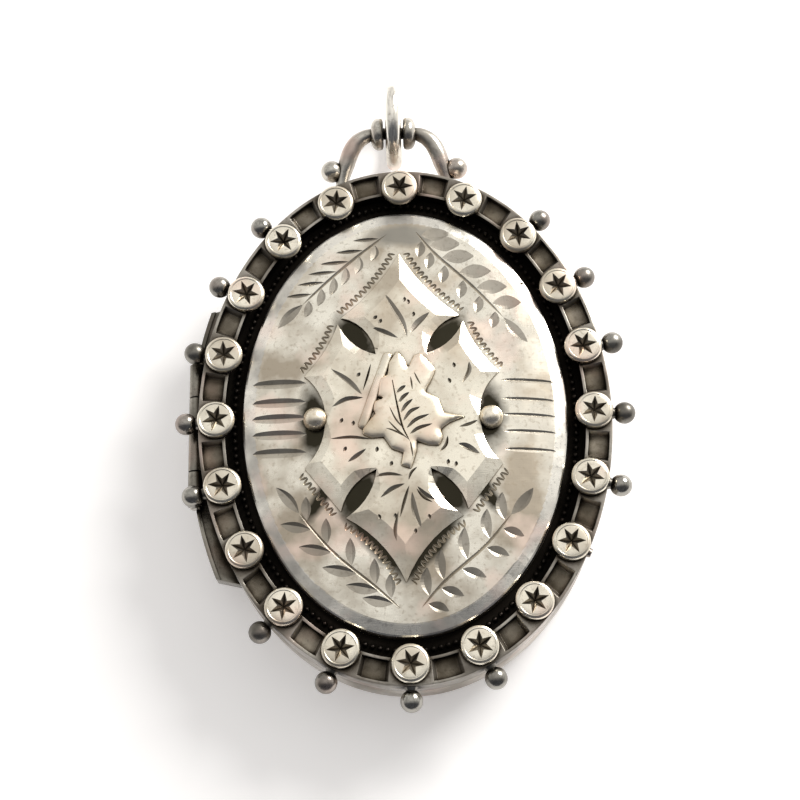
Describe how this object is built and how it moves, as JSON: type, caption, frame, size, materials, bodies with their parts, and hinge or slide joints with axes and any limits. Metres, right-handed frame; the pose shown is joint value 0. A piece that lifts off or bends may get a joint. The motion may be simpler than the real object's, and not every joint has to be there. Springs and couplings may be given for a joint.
{
  "type": "locket",
  "caption": "Large oval hinged silver locket with a studded border, edge beads, a domed engraved front with applied ivy leaves and berries, a bail and a jump ring.",
  "frame": {"origin": "centre of the oval, on the flat field of the back that the locket rests on", "axes": "+X across the oval away from the hinge, +Y up to the bail, +Z out through the front"},
  "size_m": [0.0418, 0.0621, 0.0101],
  "materials": {
    "bright_silver": "polished silver with fine wear scratches and dark tarnish in the corners",
    "aged_silver": "worn silver, satin, with grey tarnish",
    "blackened_silver": "oxidised silver, dark in the recesses, bright on raised edges",
    "engraved_silver": "polished silver with bright-cut engraving and matt tooled grounds",
    "applied_silver": "cast and chased silver, polished faces, dark cuts",
    "warm_silver": "silver with a faint warm gold tone",
    "pin_silver": "drawn wire, satin",
    "glass": "thin clear glass",
    "card": "plain matt card, slightly aged"
  },
  "bodies": {
    "back": {"back_bezel": "bright_silver", "back_card": "card", "back_cover": "aged_silver", "back_glass": "glass", "back_inner_plate": "aged_silver", "back_knuckles": "aged_silver", "bail_arch": "bright_silver", "bail_collars": "bright_silver", "bail_foot_balls": "bright_silver", "hinge_bearer": "aged_silver", "hinge_pin": "pin_silver", "snap_rim": "bright_silver"},
    "front": {"applique_plate": "applied_silver", "bead_stub": "aged_silver", "berries": "applied_silver", "boss": "engraved_silver", "channel_beading": "blackened_silver", "edge_beads": "bright_silver", "front_bezel": "bright_silver", "front_card": "card", "front_cover": "aged_silver", "front_glass": "glass", "front_inner_plate": "aged_silver", "front_knuckle": "aged_silver", "ivy_leaf": "warm_silver", "seat_border": "blackened_silver", "star_studs": "bright_silver", "twig": "applied_silver"},
    "ring": {"jump_ring": "bright_silver"}
  },
  "joints": [
    {"name": "cover_hinge", "type": "hinge", "parent": "back", "child": "front", "pos_m": [-0.0193, -0.0004, 0.005], "axis": [0, -1, 0], "range_deg": [0, 110]},
    {"name": "ring_swing", "type": "hinge", "parent": "back", "child": "ring", "pos_m": [-0.0005, 0.0294, 0.006], "axis": [1, 0, 0], "range_deg": [-52, 137]}
  ]
}
